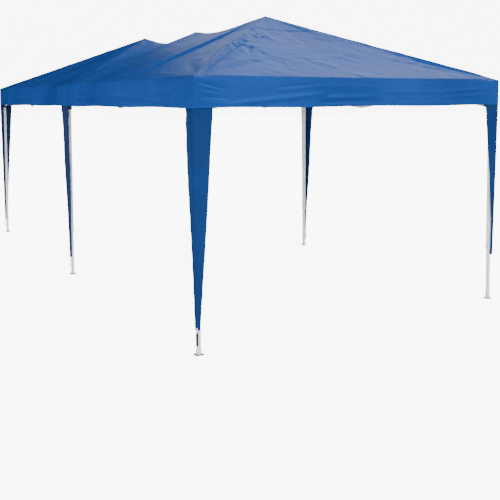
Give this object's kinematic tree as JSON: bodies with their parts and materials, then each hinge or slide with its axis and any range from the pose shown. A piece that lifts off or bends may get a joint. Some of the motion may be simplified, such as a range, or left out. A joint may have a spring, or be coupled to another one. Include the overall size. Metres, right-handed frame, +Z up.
{
  "type": "pop up gazebo",
  "caption": "Pop up gazebo with telescopic legs, folding scissor trusses, peak poles and a blue fabric canopy with a valance and leg covers.",
  "frame": {"origin": "on the ground in the middle of the six feet, which is the bounding box's bottom centre", "axes": "+X across the gazebo, +Y along its length, +Z up"},
  "size_m": [2.99, 5.89, 2.575],
  "materials": {
    "white_steel": "satin",
    "truss_steel": "satin",
    "black_plastic": "satin",
    "blue_fabric": "satin"
  },
  "bodies": {
    "front_left_leg": {"front_left_leg": "white_steel"},
    "front_left_foot_tube": {"front_left_foot_tube": "white_steel"},
    "front_left_slider": {"front_left_slider": "black_plastic"},
    "front_right_leg": {"front_right_leg": "white_steel"},
    "front_right_foot_tube": {"front_right_foot_tube": "white_steel"},
    "front_right_slider": {"front_right_slider": "black_plastic"},
    "middle_left_leg": {"middle_left_leg": "white_steel", "skirt_left": "blue_fabric"},
    "middle_left_foot_tube": {"middle_left_foot_tube": "white_steel"},
    "middle_left_slider": {"middle_left_slider": "black_plastic"},
    "middle_right_leg": {"middle_right_leg": "white_steel", "skirt_right": "blue_fabric"},
    "middle_right_foot_tube": {"middle_right_foot_tube": "white_steel"},
    "middle_right_slider": {"middle_right_slider": "black_plastic"},
    "back_left_leg": {"back_left_leg": "white_steel"},
    "back_left_foot_tube": {"back_left_foot_tube": "white_steel"},
    "back_left_slider": {"back_left_slider": "black_plastic"},
    "back_right_leg": {"back_right_leg": "white_steel"},
    "back_right_foot_tube": {"back_right_foot_tube": "white_steel"},
    "back_right_slider": {"back_right_slider": "black_plastic"},
    "left_front_bar_a": {"left_front_bar_a": "truss_steel"},
    "left_front_bar_b": {"left_front_bar_b": "truss_steel"},
    "left_front_bar_c": {"left_front_bar_c": "truss_steel"},
    "left_front_bar_d": {"left_front_bar_d": "truss_steel"},
    "left_front_link": {"left_front_link": "black_plastic"},
    "left_back_bar_a": {"left_back_bar_a": "truss_steel"},
    "left_back_bar_b": {"left_back_bar_b": "truss_steel"},
    "left_back_bar_c": {"left_back_bar_c": "truss_steel"},
    "left_back_bar_d": {"left_back_bar_d": "truss_steel"},
    "left_back_link": {"left_back_link": "black_plastic"},
    "front_rafter_left": {"front_rafter_left": "truss_steel"},
    "front_rafter_right": {"front_rafter_right": "truss_steel"},
    "front_peak_pole": {"front_peak_pole": "white_steel"},
    "middle_rafter_left": {"middle_rafter_left": "truss_steel"},
    "middle_rafter_right": {"middle_rafter_right": "truss_steel"},
    "middle_peak_pole": {"middle_peak_pole": "white_steel"},
    "back_rafter_left": {"back_rafter_left": "truss_steel"},
    "back_rafter_right": {"back_rafter_right": "truss_steel"},
    "back_peak_pole": {"back_peak_pole": "white_steel"},
    "right_front_bar_a": {"right_front_bar_a": "truss_steel"},
    "right_front_bar_b": {"right_front_bar_b": "truss_steel"},
    "right_front_bar_c": {"right_front_bar_c": "truss_steel"},
    "right_front_bar_d": {"right_front_bar_d": "truss_steel"},
    "right_front_link": {"right_front_link": "black_plastic"},
    "right_back_bar_a": {"right_back_bar_a": "truss_steel"},
    "right_back_bar_b": {"right_back_bar_b": "truss_steel"},
    "right_back_bar_c": {"right_back_bar_c": "truss_steel"},
    "right_back_bar_d": {"right_back_bar_d": "truss_steel"},
    "right_back_link": {"right_back_link": "black_plastic"},
    "front_bar_a": {"front_bar_a": "truss_steel"},
    "front_bar_b": {"front_bar_b": "truss_steel"},
    "front_bar_c": {"front_bar_c": "truss_steel"},
    "front_bar_d": {"front_bar_d": "truss_steel"},
    "back_bar_a": {"back_bar_a": "truss_steel"},
    "back_bar_b": {"back_bar_b": "truss_steel"},
    "back_bar_c": {"back_bar_c": "truss_steel"},
    "back_bar_d": {"back_bar_d": "truss_steel"},
    "canopy_left": {"canopy_left": "blue_fabric"},
    "canopy_right": {"canopy_right": "blue_fabric"}
  },
  "joints": [
    {"name": "fold", "type": "hinge", "parent": "middle_left_leg", "child": "left_front_bar_a", "pos_m": [-1.45, -0.064, 1.93], "axis": [1, 0, 0], "range_deg": [0, 78], "deforming": ["canopy_left", "canopy_right", "skirt_left", "skirt_right"]},
    {"name": "left_front_first_cross", "type": "hinge", "parent": "left_front_bar_a", "child": "left_front_bar_b", "pos_m": [-1.45, -0.757, 1.83], "axis": [1, 0, 0], "range_deg": [-157, 0]},
    {"name": "left_front_lower_middle", "type": "hinge", "parent": "left_front_bar_a", "child": "left_front_bar_c", "pos_m": [-1.45, -1.45, 1.73], "axis": [1, 0, 0], "range_deg": [-157, 0]},
    {"name": "left_front_second_cross", "type": "hinge", "parent": "left_front_bar_c", "child": "left_front_bar_d", "pos_m": [-1.45, -2.143, 1.83], "axis": [1, 0, 0], "range_deg": [0, 157]},
    {"name": "front_left_top_pivot", "type": "hinge", "parent": "left_front_bar_c", "child": "front_left_leg", "pos_m": [-1.45, -2.836, 1.93], "axis": [1, 0, 0], "range_deg": [0, 79]},
    {"name": "front_left_slider_pivot", "type": "hinge", "parent": "left_front_bar_d", "child": "front_left_slider", "pos_m": [-1.45, -2.836, 1.73], "axis": [1, 0, 0], "range_deg": [-79, 0]},
    {"name": "left_front_link_pivot", "type": "hinge", "parent": "left_front_bar_b", "child": "left_front_link", "pos_m": [-1.45, -1.45, 1.93], "axis": [1, 0, 0], "range_deg": [0, 79]},
    {"name": "middle_left_slider_pivot", "type": "hinge", "parent": "left_front_bar_b", "child": "middle_left_slider", "pos_m": [-1.45, -0.064, 1.73], "axis": [1, 0, 0], "range_deg": [0, 79]},
    {"name": "left_back_top_pivot", "type": "hinge", "parent": "middle_left_leg", "child": "left_back_bar_a", "pos_m": [-1.45, 0.064, 1.93], "axis": [-1, 0, 0], "range_deg": [0, 79]},
    {"name": "left_back_first_cross", "type": "hinge", "parent": "left_back_bar_a", "child": "left_back_bar_b", "pos_m": [-1.45, 0.757, 1.83], "axis": [-1, 0, 0], "range_deg": [-157, 0]},
    {"name": "left_back_lower_middle", "type": "hinge", "parent": "left_back_bar_a", "child": "left_back_bar_c", "pos_m": [-1.45, 1.45, 1.73], "axis": [-1, 0, 0], "range_deg": [-157, 0]},
    {"name": "left_back_second_cross", "type": "hinge", "parent": "left_back_bar_c", "child": "left_back_bar_d", "pos_m": [-1.45, 2.143, 1.83], "axis": [-1, 0, 0], "range_deg": [0, 157]},
    {"name": "back_left_top_pivot", "type": "hinge", "parent": "left_back_bar_c", "child": "back_left_leg", "pos_m": [-1.45, 2.836, 1.93], "axis": [-1, 0, 0], "range_deg": [0, 79]},
    {"name": "back_left_slider_pivot", "type": "hinge", "parent": "left_back_bar_d", "child": "back_left_slider", "pos_m": [-1.45, 2.836, 1.73], "axis": [-1, 0, 0], "range_deg": [-79, 0]},
    {"name": "left_back_link_pivot", "type": "hinge", "parent": "left_back_bar_b", "child": "left_back_link", "pos_m": [-1.45, 1.45, 1.93], "axis": [-1, 0, 0], "range_deg": [0, 79]},
    {"name": "front_rafter_left_top", "type": "hinge", "parent": "left_front_link", "child": "front_rafter_left", "pos_m": [-1.414, -1.45, 1.93], "axis": [0, 1, 0], "range_deg": [0, 79]},
    {"name": "front_hub_left", "type": "hinge", "parent": "front_rafter_left", "child": "front_peak_pole", "pos_m": [-0.028, -1.45, 1.73], "axis": [0, 1, 0], "range_deg": [-79, 0]},
    {"name": "front_hub_right", "type": "hinge", "parent": "front_peak_pole", "child": "front_rafter_right", "pos_m": [0.028, -1.45, 1.73], "axis": [0, 1, 0], "range_deg": [-79, 0]},
    {"name": "middle_rafter_left_top", "type": "hinge", "parent": "middle_left_leg", "child": "middle_rafter_left", "pos_m": [-1.414, 0, 1.93], "axis": [0, 1, 0], "range_deg": [0, 79]},
    {"name": "middle_hub_left", "type": "hinge", "parent": "middle_rafter_left", "child": "middle_peak_pole", "pos_m": [-0.028, 0, 1.73], "axis": [0, 1, 0], "range_deg": [-79, 0]},
    {"name": "middle_hub_right", "type": "hinge", "parent": "middle_peak_pole", "child": "middle_rafter_right", "pos_m": [0.028, 0, 1.73], "axis": [0, 1, 0], "range_deg": [-79, 0]},
    {"name": "middle_rafter_right_top", "type": "hinge", "parent": "middle_rafter_right", "child": "middle_right_leg", "pos_m": [1.414, 0, 1.93], "axis": [0, 1, 0], "range_deg": [0, 79]},
    {"name": "back_rafter_left_top", "type": "hinge", "parent": "left_back_link", "child": "back_rafter_left", "pos_m": [-1.414, 1.45, 1.93], "axis": [0, 1, 0], "range_deg": [0, 79]},
    {"name": "back_hub_left", "type": "hinge", "parent": "back_rafter_left", "child": "back_peak_pole", "pos_m": [-0.028, 1.45, 1.73], "axis": [0, 1, 0], "range_deg": [-79, 0]},
    {"name": "back_hub_right", "type": "hinge", "parent": "back_peak_pole", "child": "back_rafter_right", "pos_m": [0.028, 1.45, 1.73], "axis": [0, 1, 0], "range_deg": [-79, 0]},
    {"name": "right_front_top_pivot", "type": "hinge", "parent": "middle_right_leg", "child": "right_front_bar_a", "pos_m": [1.45, -0.064, 1.93], "axis": [1, 0, 0], "range_deg": [0, 79]},
    {"name": "right_front_first_cross", "type": "hinge", "parent": "right_front_bar_a", "child": "right_front_bar_b", "pos_m": [1.45, -0.757, 1.83], "axis": [1, 0, 0], "range_deg": [-157, 0]},
    {"name": "right_front_lower_middle", "type": "hinge", "parent": "right_front_bar_a", "child": "right_front_bar_c", "pos_m": [1.45, -1.45, 1.73], "axis": [1, 0, 0], "range_deg": [-157, 0]},
    {"name": "right_front_second_cross", "type": "hinge", "parent": "right_front_bar_c", "child": "right_front_bar_d", "pos_m": [1.45, -2.143, 1.83], "axis": [1, 0, 0], "range_deg": [0, 157]},
    {"name": "front_right_top_pivot", "type": "hinge", "parent": "right_front_bar_c", "child": "front_right_leg", "pos_m": [1.45, -2.836, 1.93], "axis": [1, 0, 0], "range_deg": [0, 79]},
    {"name": "front_right_slider_pivot", "type": "hinge", "parent": "right_front_bar_d", "child": "front_right_slider", "pos_m": [1.45, -2.836, 1.73], "axis": [1, 0, 0], "range_deg": [-79, 0]},
    {"name": "right_front_link_pivot", "type": "hinge", "parent": "right_front_bar_b", "child": "right_front_link", "pos_m": [1.45, -1.45, 1.93], "axis": [1, 0, 0], "range_deg": [0, 79]},
    {"name": "middle_right_slider_pivot", "type": "hinge", "parent": "right_front_bar_b", "child": "middle_right_slider", "pos_m": [1.45, -0.064, 1.73], "axis": [1, 0, 0], "range_deg": [0, 79]},
    {"name": "right_back_top_pivot", "type": "hinge", "parent": "middle_right_leg", "child": "right_back_bar_a", "pos_m": [1.45, 0.064, 1.93], "axis": [-1, 0, 0], "range_deg": [0, 79]},
    {"name": "right_back_first_cross", "type": "hinge", "parent": "right_back_bar_a", "child": "right_back_bar_b", "pos_m": [1.45, 0.757, 1.83], "axis": [-1, 0, 0], "range_deg": [-157, 0]},
    {"name": "right_back_lower_middle", "type": "hinge", "parent": "right_back_bar_a", "child": "right_back_bar_c", "pos_m": [1.45, 1.45, 1.73], "axis": [-1, 0, 0], "range_deg": [-157, 0]},
    {"name": "right_back_second_cross", "type": "hinge", "parent": "right_back_bar_c", "child": "right_back_bar_d", "pos_m": [1.45, 2.143, 1.83], "axis": [-1, 0, 0], "range_deg": [0, 157]},
    {"name": "back_right_top_pivot", "type": "hinge", "parent": "right_back_bar_c", "child": "back_right_leg", "pos_m": [1.45, 2.836, 1.93], "axis": [-1, 0, 0], "range_deg": [0, 79]},
    {"name": "back_right_slider_pivot", "type": "hinge", "parent": "right_back_bar_d", "child": "back_right_slider", "pos_m": [1.45, 2.836, 1.73], "axis": [-1, 0, 0], "range_deg": [-79, 0]},
    {"name": "right_back_link_pivot", "type": "hinge", "parent": "right_back_bar_b", "child": "right_back_link", "pos_m": [1.45, 1.45, 1.93], "axis": [-1, 0, 0], "range_deg": [0, 79]},
    {"name": "front_top_pivot", "type": "hinge", "parent": "front_left_leg", "child": "front_bar_a", "pos_m": [-1.386, -2.9, 1.93], "axis": [0, 1, 0], "range_deg": [0, 79]},
    {"name": "front_first_cross", "type": "hinge", "parent": "front_bar_a", "child": "front_bar_b", "pos_m": [-0.693, -2.9, 1.83], "axis": [0, 1, 0], "range_deg": [-157, 0]},
    {"name": "front_lower_middle", "type": "hinge", "parent": "front_bar_a", "child": "front_bar_c", "pos_m": [0, -2.9, 1.73], "axis": [0, 1, 0], "range_deg": [-157, 0]},
    {"name": "front_second_cross", "type": "hinge", "parent": "front_bar_c", "child": "front_bar_d", "pos_m": [0.693, -2.9, 1.83], "axis": [0, 1, 0], "range_deg": [0, 157]},
    {"name": "back_top_pivot", "type": "hinge", "parent": "back_left_leg", "child": "back_bar_a", "pos_m": [-1.386, 2.9, 1.93], "axis": [0, 1, 0], "range_deg": [0, 79]},
    {"name": "back_first_cross", "type": "hinge", "parent": "back_bar_a", "child": "back_bar_b", "pos_m": [-0.693, 2.9, 1.83], "axis": [0, 1, 0], "range_deg": [-157, 0]},
    {"name": "back_lower_middle", "type": "hinge", "parent": "back_bar_a", "child": "back_bar_c", "pos_m": [0, 2.9, 1.73], "axis": [0, 1, 0], "range_deg": [-157, 0]},
    {"name": "back_second_cross", "type": "hinge", "parent": "back_bar_c", "child": "back_bar_d", "pos_m": [0.693, 2.9, 1.83], "axis": [0, 1, 0], "range_deg": [0, 157]},
    {"name": "canopy_left_hang", "type": "hinge", "parent": "middle_left_leg", "child": "canopy_left", "pos_m": [-1.405, 0, 1.955], "axis": [0, 1, 0], "range_deg": [0, 108.64]},
    {"name": "canopy_right_hang", "type": "hinge", "parent": "middle_right_leg", "child": "canopy_right", "pos_m": [1.405, 0, 1.955], "axis": [0, 1, 0], "range_deg": [-108.64, 0]},
    {"name": "front_left_leg_slide", "type": "slide", "parent": "front_left_leg", "child": "front_left_foot_tube", "axis": [0, 0, 1], "range_m": [0, 0.4]},
    {"name": "front_right_leg_slide", "type": "slide", "parent": "front_right_leg", "child": "front_right_foot_tube", "axis": [0, 0, 1], "range_m": [0, 0.4]},
    {"name": "middle_left_leg_slide", "type": "slide", "parent": "middle_left_leg", "child": "middle_left_foot_tube", "axis": [0, 0, 1], "range_m": [0, 0.4]},
    {"name": "middle_right_leg_slide", "type": "slide", "parent": "middle_right_leg", "child": "middle_right_foot_tube", "axis": [0, 0, 1], "range_m": [0, 0.4]},
    {"name": "back_left_leg_slide", "type": "slide", "parent": "back_left_leg", "child": "back_left_foot_tube", "axis": [0, 0, 1], "range_m": [0, 0.4]},
    {"name": "back_right_leg_slide", "type": "slide", "parent": "back_right_leg", "child": "back_right_foot_tube", "axis": [0, 0, 1], "range_m": [0, 0.4]}
  ],
  "couplings": [
    {"joint": "left_front_first_cross", "follows": "fold", "ratio": -2},
    {"joint": "left_front_lower_middle", "follows": "fold", "ratio": -2},
    {"joint": "left_front_second_cross", "follows": "fold", "ratio": 2},
    {"joint": "front_left_top_pivot", "follows": "fold", "ratio": 1},
    {"joint": "front_left_slider_pivot", "follows": "fold", "ratio": -1},
    {"joint": "left_front_link_pivot", "follows": "fold", "ratio": 1},
    {"joint": "middle_left_slider_pivot", "follows": "fold", "ratio": 1},
    {"joint": "left_back_top_pivot", "follows": "fold", "ratio": 1},
    {"joint": "left_back_first_cross", "follows": "fold", "ratio": -2},
    {"joint": "left_back_lower_middle", "follows": "fold", "ratio": -2},
    {"joint": "left_back_second_cross", "follows": "fold", "ratio": 2},
    {"joint": "back_left_top_pivot", "follows": "fold", "ratio": 1},
    {"joint": "back_left_slider_pivot", "follows": "fold", "ratio": -1},
    {"joint": "left_back_link_pivot", "follows": "fold", "ratio": 1},
    {"joint": "front_rafter_left_top", "follows": "fold", "ratio": 1},
    {"joint": "front_hub_left", "follows": "fold", "ratio": -1},
    {"joint": "front_hub_right", "follows": "fold", "ratio": -1},
    {"joint": "middle_rafter_left_top", "follows": "fold", "ratio": 1},
    {"joint": "middle_hub_left", "follows": "fold", "ratio": -1},
    {"joint": "middle_hub_right", "follows": "fold", "ratio": -1},
    {"joint": "middle_rafter_right_top", "follows": "fold", "ratio": 1},
    {"joint": "back_rafter_left_top", "follows": "fold", "ratio": 1},
    {"joint": "back_hub_left", "follows": "fold", "ratio": -1},
    {"joint": "back_hub_right", "follows": "fold", "ratio": -1},
    {"joint": "right_front_top_pivot", "follows": "fold", "ratio": 1},
    {"joint": "right_front_first_cross", "follows": "fold", "ratio": -2},
    {"joint": "right_front_lower_middle", "follows": "fold", "ratio": -2},
    {"joint": "right_front_second_cross", "follows": "fold", "ratio": 2},
    {"joint": "front_right_top_pivot", "follows": "fold", "ratio": 1},
    {"joint": "front_right_slider_pivot", "follows": "fold", "ratio": -1},
    {"joint": "right_front_link_pivot", "follows": "fold", "ratio": 1},
    {"joint": "middle_right_slider_pivot", "follows": "fold", "ratio": 1},
    {"joint": "right_back_top_pivot", "follows": "fold", "ratio": 1},
    {"joint": "right_back_first_cross", "follows": "fold", "ratio": -2},
    {"joint": "right_back_lower_middle", "follows": "fold", "ratio": -2},
    {"joint": "right_back_second_cross", "follows": "fold", "ratio": 2},
    {"joint": "back_right_top_pivot", "follows": "fold", "ratio": 1},
    {"joint": "back_right_slider_pivot", "follows": "fold", "ratio": -1},
    {"joint": "right_back_link_pivot", "follows": "fold", "ratio": 1},
    {"joint": "front_top_pivot", "follows": "fold", "ratio": 1},
    {"joint": "front_first_cross", "follows": "fold", "ratio": -2},
    {"joint": "front_lower_middle", "follows": "fold", "ratio": -2},
    {"joint": "front_second_cross", "follows": "fold", "ratio": 2},
    {"joint": "back_top_pivot", "follows": "fold", "ratio": 1},
    {"joint": "back_first_cross", "follows": "fold", "ratio": -2},
    {"joint": "back_lower_middle", "follows": "fold", "ratio": -2},
    {"joint": "back_second_cross", "follows": "fold", "ratio": 2},
    {"joint": "canopy_left_hang", "follows": "fold", "ratio": 1.38},
    {"joint": "canopy_right_hang", "follows": "fold", "ratio": -1.38}
  ]
}
